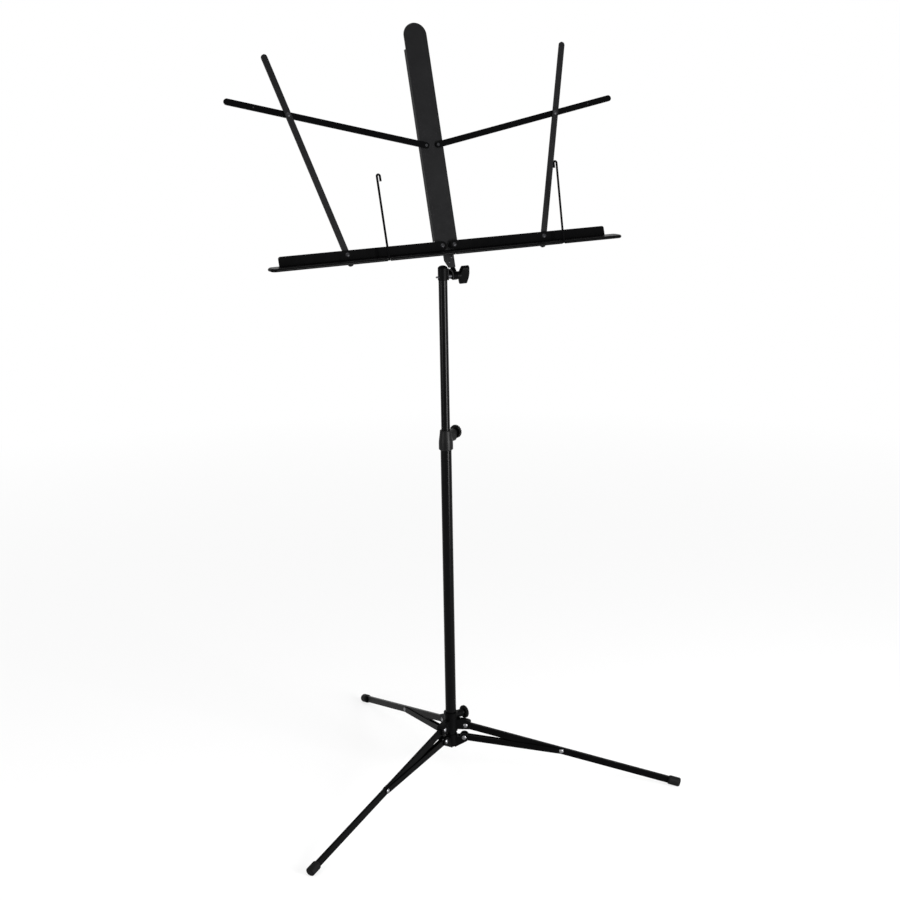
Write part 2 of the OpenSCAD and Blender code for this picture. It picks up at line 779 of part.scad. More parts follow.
module on_side(side)
    desk_frame() mirror([side == "left" ? 1 : 0, 0, 0]) children();

// Rivet through the desk at a point of its plane, from depth d0 to d1
module desk_rivet(x, v, d0, d1, back = true, front = true)
    translate([x, 0, v]) mirror([0, 1, 0]) rivet_y(d0, d1, back, front);

module spine_outline() {
    translate([0, spine_top]) circle(r = spine_w / 2);
    translate([-spine_w / 2, 0]) square([spine_w, spine_top]);
    tab_outline();
}

// Tab under the ledge, cut back on the left towards the tongue's ear
module tab_outline()
    polygon([
        [neck_x1 - tab_w, bend_v], [neck_x1 - tab_w, -tab_side], [neck_x0 - tab_foot, -tab_drop],
        [neck_x1, -tab_drop], [neck_x1, bend_v]
    ]);

module spine()
    color("#2a2b2e")
        desk_frame() difference() {
            union() {
                layer(spine_d, bar_t) spine_outline();
                for (s = [-1, 1])
                    layer(spine_d - spine_flange, spine_flange)
                        translate([s * (spine_w / 2 - sheet / 2), spine_top / 2])
                            square([sheet, spine_top * flange_share], center = true);
            }
            for (x = [-pivot_x, pivot_x], v = [ledge_pivot_v, arm_pivot_v])
                desk_bore(x, v, rivet_r);
            for (p = tongue_rivets_at) desk_bore(p[0], p[1], tongue_rivet_r);
        }

// Bore square to the desk, through all its layers
module desk_bore(x, v, r) translate([x, 0, v]) pin_y(r, -tray_depth, tray_depth);

module desk_tongue()
    color("#222326")
        desk_frame() difference() {
            union() {
                layer(tongue_d, bar_t) tab_outline();
                translate([neck_x0, 0, 0]) rotate([90, 0, 90]) linear_extrude(ear_t) {
                    translate([ledge_fore, -ledge_up]) circle(r = tongue_r);
                    polygon([
                        [ledge_fore - tongue_r, -ledge_up], [-spine_d, -tab_drop],
                        [-spine_d, ear_top], [-tongue_d, ear_top], [-tongue_d, 1 - tab_drop],
                        [ledge_fore + tongue_r, -ledge_up]
                    ]);
                }
            }
            for (p = tongue_rivets_at) desk_bore(p[0], p[1], tongue_rivet_r);
            translate([0, ledge_fore, -ledge_up]) pin_x(bolt_r + fit, neck_x0 - 1, neck_x1 + 1);
        }

module tongue_rivets()
    color("#a5a6a9")
        desk_frame() for (p = tongue_rivets_at)
            translate([p[0], 0, p[1]]) mirror([0, 1, 0])
                rivet_y(tongue_d, spine_d + bar_t, true, true, tongue_rivet_r, tongue_head_r);

// Rivets of the ledge halves, each with its spacer collar
module ledge_rivets()
    color("#3a3b3d")
        desk_frame() for (x = [-pivot_x, pivot_x]) {
            desk_rivet(x, ledge_pivot_v, spine_d, sheet + layer_gap);
            translate([x, 0, ledge_pivot_v]) difference() {
                pin_y(2 * rivet_r, layer_gap, -spine_d - bar_t);
                pin_y(rivet_r, -1, tray_depth);
            }
        }

// Rivets of the shallow arms, flush in front
module arm_rivets()
    color("#3a3b3d")
        desk_frame() for (x = [-pivot_x, pivot_x])
            desk_rivet(x, arm_pivot_v, spine_d, shallow_d + bar_t, true, false);

module tray_outline() {
    translate([ledge_gap / 2, 0]) square([tray_end - ledge_gap / 2 - tray_corner, tray_reach]);
    translate([ledge_gap / 2, tray_corner])
        square([tray_end - ledge_gap / 2, tray_reach - 2 * tray_corner]);
    for (y = [tray_corner, tray_reach - tray_corner])
        translate([tray_end - tray_corner, y]) circle(r = tray_corner);
}

// Hem rolled along the tray's front edge, round its corner and along its end
module tray_hem() {
    translate([0, tray_reach, 0]) pin_x(hem_r, ledge_gap / 2, tray_end - tray_corner);
    translate([tray_end - tray_corner, tray_reach - tray_corner, 0])
        rotate_extrude(angle = 90) translate([tray_corner, 0]) circle(r = hem_r);
    translate([tray_end, 0, 0]) pin_y(hem_r, tray_corner, tray_reach - tray_corner);
    translate([tray_end, tray_corner, 0]) sphere(r = hem_r);
}

// Bend between back plate and tray, reaching a sheet's thickness into each
module bend_outline()
    intersection() {
        circle(r = sheet);
        polygon([
            [0, 0], [0, 2 * sheet], [2 * sheet, 2 * sheet], [2 * sheet, -2 * sheet],
            [-2 * sheet, -2 * sheet], [-2 * sheet * cos(tray_fall), -2 * sheet * sin(tray_fall)]
        ]);
    }

module plate_outline() {
    translate([pivot_x, ledge_pivot_v]) circle(r = plate_h / 2);
    translate([pivot_x, bend_v]) square([plate_half - pivot_x - plate_corner, plate_h]);
    translate([pivot_x, bend_v]) square([plate_half - pivot_x, plate_h - plate_corner]);
    translate([plate_half - plate_corner, bend_v + plate_h - plate_corner])
        circle(r = plate_corner);
}

module ledge(side)
    color("#1f2022")
        on_side(side) difference() {
            union() {
                layer(0, sheet) plate_outline();
                translate([0, -sheet, bend_v]) {
                    rotate([tray_fall + 180, 0, 0]) {
                        linear_extrude(sheet) tray_outline();
                        translate([0, 0, hem_drop]) tray_hem();
                    }
                    translate([pivot_x, 0, 0]) rotate([90, 0, 90])
                        linear_extrude(plate_half - pivot_x) bend_outline();
                }
            }
            desk_bore(pivot_x, ledge_pivot_v, rivet_r + fit);
            desk_bore(steep_x, steep_v, rivet_r);
            hem_cuts(side);
        }

// Bore for the retainer's foot and the notch that lets its wire out
module hem_cuts(side)
    translate([retainer_x(side), -hem_d, hem_v]) {
        mirror([side == "left" ? 0 : 1, 0, 0]) pin_x(hem_bore_r, 0, foot_in_hem + hem_r);
        cube([2 * hem_r + 2 * side_gap, 4 * hem_r, 4 * hem_r], center = true);
    }

module steep_rivet(side)
    color("#3a3b3d")
        on_side(side) desk_rivet(steep_x, steep_v, steep_d, sheet, false, true);

module arm_bar(d, length, tail, pivot_bore, cross)
    difference() {
        layer(d, bar_t) {
            bar_outline(bar_w / 2, length, tail);
            translate([length, 0]) circle(r = bar_w / 2);
        }
        desk_bore(0, 0, pivot_bore);
        desk_bore(cross, 0, rivet_r);
    }

module steep_arm(side)
    color("#303134")
        on_side(side) translate([steep_x, 0, steep_v]) rotate([0, steep_lean - 90, 0])
            arm_bar(steep_d, steep_len, steep_tail, rivet_r + fit, cross_q(spread_of(side)));

module shallow_arm(side)
    color("#1c1d1f")
        on_side(side) translate([pivot_x, 0, arm_pivot_v]) rotate([0, spread_of(side) - 90, 0])
            difference() {
                arm_bar(shallow_d, shallow_len, 0, rivet_r + fit, cross_p(spread_of(side)));
                desk_bore(shallow_len - stop_from_tip, 0, stop_r);
            }

// Front head of the crossing rivet, in the steep arm
module cross_head(side)
    color("#3a3b3d")
        on_side(side) translate([steep_x, 0, steep_v]) rotate([0, steep_lean - 90, 0])
            desk_rivet(cross_q(spread_of(side)), 0, steep_d, steep_d + bar_t, false, true);

// Back head and shank of the crossing rivet and the stop pin, in the shallow arm
module cross_rivet(side)
    color("#77797c")
        on_side(side) translate([pivot_x, 0, arm_pivot_v]) rotate([0, spread_of(side) - 90, 0]) {
            desk_rivet(cross_p(spread_of(side)), 0, shallow_d, shallow_d + bar_t, true, false);
            translate([shallow_len - stop_from_tip, 0, 0]) mirror([0, 1, 0])
                pin_y(stop_r, shallow_d, shallow_d + bar_t);
        }

// ---- page retainers ----

// Half turn of the wire in the X-Z plane
module wire_turn()
    rotate([90, 0, 0]) rotate_extrude(angle = 180)
        translate([wire_bend, 0]) circle(r = wire_r, $fn = 24);

module retainer(side) {
    rise = retainer_h - wire_bend;
    color("#3b3c3f")
        on_side(side) translate([retainer_x(side), -hem_d, hem_v]) {
            sphere(r = wire_r, $fn = 32);
            mirror([side == "left" ? 0 : 1, 0, 0]) pin_x(wire_r, 0, foot_in_hem, $fn = 32);
            rotate([0, retainer_lean_of(side), 0]) {
                cylinder(r = wire_r, h = rise, $fn = 32);
                translate([-wire_bend, 0, rise]) wire_turn();
                translate([-2 * wire_bend, 0, rise - hook_leg])
                    cylinder(r = wire_r, h = hook_leg, $fn = 32);
            }
        }
}

lower_tube();
tube_hub();
hub_rivets();
height_sleeve();
sleeve_knob();
sleeve_screw();
leg_collar();
collar_rivets();
collar_knob();
collar_screw();
guide_plug();
upper_tube();
tilt_head();
tilt_bolt();
spacer_ring();
outer_washer();
wing_knob();
desk_tongue();
tongue_rivets();
spine();
ledge_rivets();
arm_rivets();
for (i = [1:3]) {
    leg(i);
    foot(i);
    strut(i);
    link_head(i);
    link_pin(i);
}
for (side = SIDES) {
    ledge(side);
    steep_rivet(side);
    steep_arm(side);
    cross_head(side);
    shallow_arm(side);
    cross_rivet(side);
    retainer(side);
}
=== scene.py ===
import json
import math

import bpy
from mathutils import Matrix, Vector

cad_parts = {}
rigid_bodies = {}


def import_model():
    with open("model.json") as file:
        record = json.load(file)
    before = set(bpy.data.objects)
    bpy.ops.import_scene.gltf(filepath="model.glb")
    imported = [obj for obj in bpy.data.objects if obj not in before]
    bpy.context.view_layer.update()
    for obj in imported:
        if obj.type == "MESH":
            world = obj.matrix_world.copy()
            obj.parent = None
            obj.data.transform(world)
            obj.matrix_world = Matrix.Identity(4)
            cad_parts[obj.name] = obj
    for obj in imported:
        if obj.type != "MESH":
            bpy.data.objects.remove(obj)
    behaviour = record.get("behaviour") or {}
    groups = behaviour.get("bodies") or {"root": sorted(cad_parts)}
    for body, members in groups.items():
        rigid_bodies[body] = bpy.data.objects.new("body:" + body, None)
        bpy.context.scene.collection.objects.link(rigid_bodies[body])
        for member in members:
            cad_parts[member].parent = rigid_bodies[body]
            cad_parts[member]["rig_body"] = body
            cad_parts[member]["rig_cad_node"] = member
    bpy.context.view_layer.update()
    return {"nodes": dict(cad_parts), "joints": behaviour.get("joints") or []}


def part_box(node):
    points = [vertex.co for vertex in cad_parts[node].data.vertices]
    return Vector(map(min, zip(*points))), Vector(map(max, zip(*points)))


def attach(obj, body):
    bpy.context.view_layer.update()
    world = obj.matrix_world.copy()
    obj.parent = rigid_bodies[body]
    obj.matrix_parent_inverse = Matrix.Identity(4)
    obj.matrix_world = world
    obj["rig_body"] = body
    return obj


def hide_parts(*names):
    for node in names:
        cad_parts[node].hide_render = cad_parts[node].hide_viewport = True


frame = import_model()

# ---- Camera, floor and light ----
# A long lens a little above the desk, with the desk turned to the left, on a seamless pale floor that
# keeps the stand's shadow. An upright lamp on the right draws the bright line down the tubes, one on
# the left draws a dimmer line at their top, and a broad one overhead lights what faces up.
MM = 0.001
desk_turn = math.radians(26.84)
camera_reach, camera_height = 2.3934, 1.1683
camera_pitch, camera_yaw, camera_roll = math.radians(15.476), math.radians(0.551), math.radians(-0.906)
bpy.ops.object.select_all(action="DESELECT")
bpy.ops.object.camera_add()
camera = bpy.context.object
camera.name = "camera"
camera_place = (-camera_reach * math.sin(desk_turn), -camera_reach * math.cos(desk_turn), camera_height)
camera.matrix_world = (
    Matrix.Translation(camera_place)
    @ Matrix.Rotation(-desk_turn - camera_yaw, 4, "Z")
    @ Matrix.Rotation(math.pi / 2 - camera_pitch, 4, "X")
    @ Matrix.Rotation(camera_roll, 4, "Z")
)
camera.data.lens = 71.485
camera.data.sensor_width = 36
camera.data.shift_x = -0.01396
camera.data.shift_y = -0.0018
bpy.context.scene.camera = camera
bpy.context.scene.view_settings.view_transform = "Standard"


def new_material(name):
    """A node material with its shader, its output and its object coordinates."""
    material = bpy.data.materials.new(name)
    material.use_nodes = True
    tree = material.node_tree
    shader = tree.nodes["Principled BSDF"]
    place = tree.nodes.new("ShaderNodeTexCoord")
    return material, tree, shader, place.outputs["Object"]


def is_seen(tree):
    """1 for what the camera, a reflection or glass shows, 0 for the light that falls on things."""
    path = tree.nodes.new("ShaderNodeLightPath")
    seen = path.outputs["Is Camera Ray"]
    for ray in ("Is Glossy Ray", "Is Transmission Ray"):
        either = tree.nodes.new("ShaderNodeMath")
        either.operation = "MAXIMUM"
        tree.links.new(seen, either.inputs[0])
        tree.links.new(path.outputs[ray], either.inputs[1])
        seen = either.outputs[0]
    return seen


def mixed(tree, factor, first, second):
    """One shader that goes from the first to the second with the factor."""
    mix = tree.nodes.new("ShaderNodeMixShader")
    tree.links.new(factor, mix.inputs[0])
    tree.links.new(first, mix.inputs[1])
    tree.links.new(second, mix.inputs[2])
    return mix.outputs[0]


floor_size, floor_drop = 600, 0.5 * MM
near_floor, far_floor, near_glow = 0.6, 2.2, 0.72
bpy.ops.mesh.primitive_plane_add(size=floor_size, location=(0, 0, -floor_drop))
floor = bpy.context.object
floor.name = "floor"
floor_material, tree, shader, place = new_material("pale_floor")
shader.inputs["Base Color"].default_value = (0.86, 0.86, 0.86, 1)
shader.inputs["Roughness"].default_value = 0.9
glow = tree.nodes.new("ShaderNodeEmission")
glow.inputs["Color"].default_value = (1, 1, 1, 1)
reach = tree.nodes.new("ShaderNodeVectorMath")
reach.operation = "LENGTH"
tree.links.new(place, reach.inputs[0])
backdrop_share = tree.nodes.new("ShaderNodeMapRange")
backdrop_share.inputs["From Min"].default_value = near_floor
backdrop_share.inputs["From Max"].default_value = far_floor
backdrop_share.inputs["To Min"].default_value = near_glow
backdrop_share.inputs["To Max"].default_value = 1.0
tree.links.new(reach.outputs["Value"], backdrop_share.inputs["Value"])
seen = tree.nodes.new("ShaderNodeMath")
seen.operation = "MULTIPLY"
tree.links.new(is_seen(tree), seen.inputs[0])
tree.links.new(backdrop_share.outputs[0], seen.inputs[1])
surface = mixed(tree, seen.outputs[0], shader.outputs[0], glow.outputs[0])
tree.links.new(surface, tree.nodes["Material Output"].inputs["Surface"])
floor.data.materials.append(floor_material)

world = bpy.data.worlds.new("studio")
world.use_nodes = True
bpy.context.scene.world = world
tree = world.node_tree
ambient = tree.nodes["Background"]
ambient.inputs["Color"].default_value = (1, 1, 1, 1)
ambient.inputs["Strength"].default_value = 0.5
backdrop = tree.nodes.new("ShaderNodeBackground")
backdrop.inputs["Color"].default_value = (1, 1, 1, 1)
backdrop.inputs["Strength"].default_value = 1.0
sky = mixed(tree, is_seen(tree), ambient.outputs[0], backdrop.outputs[0])
tree.links.new(sky, tree.nodes["World Output"].inputs["Surface"])


def strip_lamp(name, turn, reach, width, height, middle, power):
    """An upright lamp, turned round the column from the camera's side, that shines at the column."""
    azimuth = -math.pi / 2 - desk_turn + math.radians(turn)
    place = Vector((reach * math.cos(azimuth), reach * math.sin(azimuth), middle))
    bpy.ops.object.light_add(type="AREA", location=place)
    lamp = bpy.context.object
    lamp.name = name
    lamp.data.shape = "RECTANGLE"
    lamp.data.size, lamp.data.size_y = width, height
    lamp.data.energy = power
    lamp.rotation_euler = Vector((-place.x, -place.y, 0)).to_track_quat("-Z", "Y").to_euler()
    lamp.visible_camera = False


strip_lamp("right_strip", turn=48, reach=1.5, width=0.5, height=0.95, middle=0.475, power=48)
strip_lamp("left_panel", turn=-52, reach=2.0, width=0.6, height=1.0, middle=0.64, power=18)
overhead_place, overhead_width, overhead_power = (-0.3, -0.5, 3.0), 2.2, 30
bpy.ops.object.light_add(type="AREA", location=overhead_place)
overhead = bpy.context.object
overhead.name = "overhead_lamp"
overhead.data.size = overhead_width
overhead.data.energy = overhead_power


# ---- Tubes ----
# The lower and the upper tube are drawn steel with a satin black powder coat. Each is an open
# cylinder given its wall, with the cut ends broken by a small round.
def texture(tree, kind, vector, scale, **settings):
    """A texture node of that kind on those coordinates, with its scale in repeats to the metre."""
    node = tree.nodes.new(kind)
    tree.links.new(vector, node.inputs["Vector"])
    node.inputs["Scale"].default_value = scale
    for socket, value in settings.items():
        node.inputs[socket].default_value = value
    return node


def between(tree, factor, low, high):
    """A value that goes from low to high over the middle of a noise texture's range."""
    noise_low, noise_high = 0.3, 0.7
    node = tree.nodes.new("ShaderNodeMapRange")
    node.inputs["From Min"].default_value = noise_low
    node.inputs["From Max"].default_value = noise_high
    node.inputs["To Min"].default_value = low
    node.inputs["To Max"].default_value = high
    tree.links.new(factor, node.inputs["Value"])
    return node.outputs["Result"]


def tint(tree, factor, dark, light):
    """A colour that goes from dark to light with the factor."""
    ramp = tree.nodes.new("ShaderNodeValToRGB")
    for stop, position, colour in zip(ramp.color_ramp.elements, (0.35, 0.7), (dark, light)):
        stop.position = position
        stop.color = (*colour, 1)
    tree.links.new(factor, ramp.inputs["Fac"])
    return ramp.outputs["Color"]


def relief(tree, shader, height, strength, depth):
    """Bump on the shader from a height, with its depth in metres."""
    bump = tree.nodes.new("ShaderNodeBump")
    bump.inputs["Strength"].default_value = strength
    bump.inputs["Distance"].default_value = depth
    tree.links.new(height, bump.inputs["Height"])
    tree.links.new(bump.outputs["Normal"], shader.inputs["Normal"])


def powder_coat(name, dark, light, smooth, rough, shine, orange_peel=0.05):
    """Satin black powder coat: a fine orange peel, faint cloudiness and uneven gloss."""
    peel_depth = 0.03 * MM
    material, tree, shader, place = new_material(name)
    cloud = texture(tree, "ShaderNodeTexNoise", place, 22, Detail=4, Roughness=0.6)
    peel = texture(tree, "ShaderNodeTexNoise", place, 900, Detail=2, Roughness=0.5)
    scuff = texture(tree, "ShaderNodeTexNoise", place, 140, Detail=6, Roughness=0.7)
    tree.links.new(tint(tree, cloud.outputs["Fac"], dark, light), shader.inputs["Base Color"])
    tree.links.new(between(tree, scuff.outputs["Fac"], smooth, rough), shader.inputs["Roughness"])
    shader.inputs["Specular IOR Level"].default_value = shine
    relief(tree, shader, peel.outputs["Fac"], orange_peel, peel_depth)
    return material


def dress(piece, material):
    """Gives a piece or a CAD node its one material."""
    if not piece.data.materials:
        piece.data.materials.append(material)
    for slot in piece.material_slots:
        slot.material = material


def take(piece):
    """Makes this piece the only one selected, and the active one."""
    bpy.ops.object.select_all(action="DESELECT")
    piece.select_set(True)
    bpy.context.view_layer.objects.active = piece


def apply_modifier(piece, kind, **settings):
    """Adds a modifier with its settings and applies it."""
    take(piece)
    modifier = piece.modifiers.new(kind.lower(), kind)
    for name, value in settings.items():
        setattr(modifier, name, value)
    bpy.ops.object.modifier_apply(modifier=modifier.name)


def round_off(piece, width, segments=3, angle=30):
    """Bevels the edges that turn by more than the angle, and smooths the shading.

    Its clamp against overlap cuts the width for the whole piece at one tight place, often to nearly nothing.
    """
    sharpest_smooth_turn, flat_face_weight = math.radians(40), 80
    apply_modifier(
        piece, "BEVEL", width=width, segments=segments, limit_method="ANGLE", angle_limit=math.radians(angle),
    )
    bpy.ops.object.shade_smooth_by_angle(angle=sharpest_smooth_turn)
    apply_modifier(piece, "WEIGHTED_NORMAL", keep_sharp=True, weight=flat_face_weight)


def finish(piece, material, slot, body, *nodes_it_replaces):
    """Gives a piece its finish, its body and the CAD nodes that it stands for."""
    dress(piece, material)
    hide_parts(*nodes_it_replaces)
    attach(piece, body)


tube_coat = powder_coat(
    "tube_coat", dark=(0.0005, 0.0005, 0.0006), light=(0.001, 0.001, 0.0011),
    smooth=0.2, rough=0.22, shine=0.058, orange_peel=0.01,
)
cut_end_round = 0.25 * MM


def tube(name, node, wall, body):
    """A tube as long and as wide as its CAD node, with the given wall."""
    low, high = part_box(node)
    bpy.ops.object.select_all(action="DESELECT")
    bpy.ops.mesh.primitive_cylinder_add(
        vertices=96, radius=(high.x - low.x) / 2, depth=high.z - low.z,
        location=(low + high) / 2, end_fill_type="NOTHING",
    )
    piece = bpy.context.object
    piece.name = name
    bpy.ops.object.transform_apply(location=True)
    apply_modifier(piece, "SOLIDIFY", thickness=wall, offset=-1)
    round_off(piece, cut_end_round, segments=2, angle=60)
    finish(piece, tube_coat, "black_coat", body, node)


tube("lower_tube_coated", "lower_tube", wall=1.0 * MM, body="column")
tube("upper_tube_coated", "upper_tube", wall=0.8 * MM, body="mast")


# ---- Hub and leg collar ----
# Glass-filled nylon mouldings, black and finely grained. The hub is fixed to the foot of the lower
# tube and holds the struts. The collar slides and holds the legs.
nodes = frame["nodes"]


def moulded_nylon(name, dark, light, grain, smooth, rough, shine):
    """Dark nylon with a fine eroded grain and slightly uneven gloss."""
    grain_depth = 0.06 * MM
    material, tree, shader, place = new_material(name)
    cloud = texture(tree, "ShaderNodeTexNoise", place, 60, Detail=5, Roughness=0.65)
    pits = texture(tree, "ShaderNodeTexNoise", place, 1800, Detail=3, Roughness=0.6)
    tree.links.new(tint(tree, cloud.outputs["Fac"], dark, light), shader.inputs["Base Color"])
    tree.links.new(between(tree, cloud.outputs["Fac"], smooth, rough), shader.inputs["Roughness"])
    shader.inputs["Specular IOR Level"].default_value = shine
    relief(tree, shader, pits.outputs["Fac"], grain, grain_depth)
    return material


def copy_of(node, name):
    """A new piece with the merged mesh of a CAD node, its flat facets joined."""
    same_point, same_plane = 0.003 * MM, math.radians(0.6)
    piece = nodes[node].copy()
    piece.data = nodes[node].data.copy()
    piece.name = name
    piece.parent = None
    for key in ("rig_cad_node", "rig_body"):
        del piece[key]
    bpy.context.scene.collection.objects.link(piece)
    take(piece)
    if piece.data.has_custom_normals:
        bpy.ops.mesh.customdata_custom_splitnormals_clear()
    bpy.ops.object.mode_set(mode="EDIT")
    bpy.ops.mesh.select_all(action="SELECT")
    bpy.ops.mesh.remove_doubles(threshold=same_point)
    bpy.ops.mesh.dissolve_limited(angle_limit=same_plane)
    bpy.ops.mesh.normals_make_consistent(inside=False)
    bpy.ops.object.mode_set(mode="OBJECT")
    return piece


def stand_for(node, name, body, material, slot, rounding, segments=3):
    """A copy of a CAD node with a clamped edge bevel and its finish, which replaces the node."""
    piece = copy_of(node, name)
    round_off(piece, rounding, segments)
    finish(piece, material, slot, body, node)
    return piece


black_nylon = moulded_nylon(
    "black_nylon", dark=(0.0006, 0.0006, 0.0007), light=(0.0013, 0.0013, 0.0014),
    grain=0.3, smooth=0.36, rough=0.46, shine=0.028,
)
stand_for("tube_hub", "hub_moulding", "column", black_nylon, "moulded_nylon", rounding=0.5 * MM)
stand_for("leg_collar", "collar_moulding", "collar", black_nylon, "moulded_nylon", rounding=0.55 * MM)


# ---- Rivets and screws of the tripod ----
# Zinc-plated steel, cold headed, with a slightly dull bloom and fine marks from the rolls. They pin
# the legs in the collar, the struts in the hub and each leg to its strut.
def plated(name, colour, smooth, rough):
    """Plated steel with a faint bloom and fine marks."""
    bloom_share, mark_strength, mark_depth = 0.7, 0.2, 0.04 * MM
    material, tree, shader, place = new_material(name)
    bloom = texture(tree, "ShaderNodeTexNoise", place, 420, Detail=5, Roughness=0.7)
    marks = texture(tree, "ShaderNodeTexNoise", place, 3000, Detail=1)
    darker = tuple(value * bloom_share for value in colour)
    tree.links.new(tint(tree, bloom.outputs["Fac"], darker, colour), shader.inputs["Base Color"])
    tree.links.new(between(tree, bloom.outputs["Fac"], smooth, rough), shader.inputs["Roughness"])
    shader.inputs["Metallic"].default_value = 1
    relief(tree, shader, marks.outputs["Fac"], mark_strength, mark_depth)
    return material


bright_zinc = plated("bright_zinc", colour=(0.17, 0.17, 0.176), smooth=0.34, rough=0.5)
for node in (
    "hub_rivets", "collar_rivets", "collar_screw", "sleeve_screw",
    "link_head_1", "link_head_2", "link_head_3", "link_pin_1", "link_pin_2", "link_pin_3",
):
    dress(nodes[node], bright_zinc)


# ---- Legs, struts and feet ----
# Legs and struts are pressed channels in black coated steel, with rounded bends. Each leg ends in a
# push-on rubber cap with a flat worn where it stands.
def rubber(name, dark, light):
    """Matt rubber with a fine tooth and dusty patches."""
    smooth, rough, shine, tooth_strength, tooth_depth = 0.5, 0.68, 0.05, 0.3, 0.06 * MM
    material, tree, shader, place = new_material(name)
    dust = texture(tree, "ShaderNodeTexNoise", place, 90, Detail=6, Roughness=0.7)
    tooth = texture(tree, "ShaderNodeTexNoise", place, 2200, Detail=2)
    tree.links.new(tint(tree, dust.outputs["Fac"], dark, light), shader.inputs["Base Color"])
    tree.links.new(between(tree, dust.outputs["Fac"], smooth, rough), shader.inputs["Roughness"])
    shader.inputs["Specular IOR Level"].default_value = shine
    relief(tree, shader, tooth.outputs["Fac"], tooth_strength, tooth_depth)
    return material


foot_rubber = rubber("foot_rubber", dark=(0.002, 0.002, 0.0021), light=(0.0045, 0.0045, 0.0047))
black_coat = powder_coat(
    "black_coat", dark=(0.0005, 0.0005, 0.0006), light=(0.001, 0.001, 0.0011),
    smooth=0.26, rough=0.36, shine=0.026,
)
leg_round, strut_round, cap_round = 0.4 * MM, 0.35 * MM, 0.4 * MM
for number in (1, 2, 3):
    leg, strut, foot = f"leg_{number}", f"strut_{number}", f"foot_{number}"
    stand_for(leg, f"{leg}_channel", leg, black_coat, "black_coat", leg_round)
    stand_for(strut, f"{strut}_channel", strut, black_coat, "black_coat", strut_round)
    stand_for(foot, f"{foot}_cap", leg, foot_rubber, "foot_cap", cap_round)


# ---- Height sleeve ----
# A nylon moulding pressed on the lower tube, which the upper tube slides through. It swells towards
# its foot and carries a boss with a skirt below it for the clamp screw.
def pick_points(piece, wanted):
    """In edit mode, selects only the vertices at the wanted places."""
    take(piece)
    bpy.ops.object.mode_set(mode="EDIT")
    bpy.ops.mesh.select_mode(type="VERT")
    bpy.ops.mesh.select_all(action="DESELECT")
    bpy.ops.object.mode_set(mode="OBJECT")
    for point in piece.data.vertices:
        point.select = wanted(point.co)
    bpy.ops.object.mode_set(mode="EDIT")


def put(piece, origin, axis):
    """Moves a piece made upright at the origin to its place, with its upright along the axis."""
    turn = Vector(axis).to_track_quat("Z", "Y").to_matrix().to_4x4()
    piece.matrix_world = Matrix.Translation(origin) @ turn
    take(piece)
    bpy.ops.object.transform_apply(location=True, rotation=True, scale=True)


def turned(name, rings):
    """A turned solid at the origin: a disc drawn up through rings of radius and height, and closed."""
    same_point = 0.001 * MM
    bpy.ops.object.select_all(action="DESELECT")
    radius, height = rings[0]
    bpy.ops.mesh.primitive_circle_add(vertices=96, radius=radius, location=(0, 0, height), fill_type="NGON")
    piece = bpy.context.object
    piece.name = name
    bpy.ops.object.transform_apply(location=True)
    bpy.ops.object.mode_set(mode="EDIT")
    bpy.ops.mesh.select_mode(type="EDGE")
    bpy.ops.mesh.select_all(action="SELECT")
    for next_radius, next_height in rings[1:]:
        bpy.ops.mesh.extrude_region_move(TRANSFORM_OT_translate={"value": (0, 0, next_height - height)})
        share = next_radius / radius
        bpy.ops.transform.resize(value=(share, share, 1), center_override=(0, 0, next_height))
        radius, height = next_radius, next_height
    bpy.ops.mesh.select_all(action="SELECT")
    bpy.ops.mesh.remove_doubles(threshold=same_point)
    bpy.ops.mesh.normals_make_consistent(inside=False)
    bpy.ops.object.mode_set(mode="OBJECT")
    return piece


def cut(piece, tool, operation="DIFFERENCE"):
    """Cuts the tool out of the piece, or joins it on, and throws the tool away."""
    apply_modifier(piece, "BOOLEAN", object=tool, operation=operation, solver="EXACT")
    bpy.data.objects.remove(tool)


def rod(radius, length, origin, axis, vertices=96):
    """A plain round bar from the origin along the axis, to cut with or to build on."""
    bpy.ops.object.select_all(action="DESELECT")
    bpy.ops.mesh.primitive_cylinder_add(
        vertices=vertices, radius=radius, depth=length, location=(0, 0, length / 2),
    )
    bar = bpy.context.object
    bpy.ops.object.transform_apply(location=True)
    put(bar, origin, axis)
    return bar


sleeve_low, sleeve_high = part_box("height_sleeve")
upper_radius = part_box("upper_tube")[1].x
lower_radius, lower_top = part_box("lower_tube")[1].x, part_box("lower_tube")[1].z
sleeve_height = sleeve_high.z - sleeve_low.z
sleeve_radius, sleeve_top_radius, sleeve_swell = 10 * MM, 8.2 * MM, 11 * MM
sleeve_chamfer, lip_chamfer, lip_height, hair = 0.9 * MM, 0.7 * MM, 2.2 * MM, 0.01 * MM
slide_play, screw_radius, spare = 0.06 * MM, 2.5 * MM, 1 * MM
boss_radius, boss_reach, boss_root, boss_skirt = 5.6 * MM, 18.5 * MM, 6 * MM, 6.4 * MM
joints = {joint["name"]: joint for joint in frame["joints"]}
sleeve_screw = Vector(joints["sleeve_knob_turn"]["pos_m"])
sleeve_aim = Vector(joints["sleeve_knob_turn"]["axis"])
sleeve = turned("height_sleeve_moulding", [
    (sleeve_radius - sleeve_chamfer, 0),
    (sleeve_radius, sleeve_chamfer),
    (sleeve_radius, sleeve_swell - 2 * MM),
    (sleeve_radius - 0.15 * MM, sleeve_swell + 1 * MM),
    (sleeve_top_radius + 0.2 * MM, sleeve_height - 4.5 * MM),
    (sleeve_top_radius, sleeve_height - lip_height),
    (sleeve_top_radius, sleeve_height - lip_chamfer),
    (sleeve_top_radius - lip_chamfer, sleeve_height),
    (hair, sleeve_height),
])
put(sleeve, (0, 0, sleeve_low.z), (0, 0, 1))
boss_length = boss_reach - boss_root
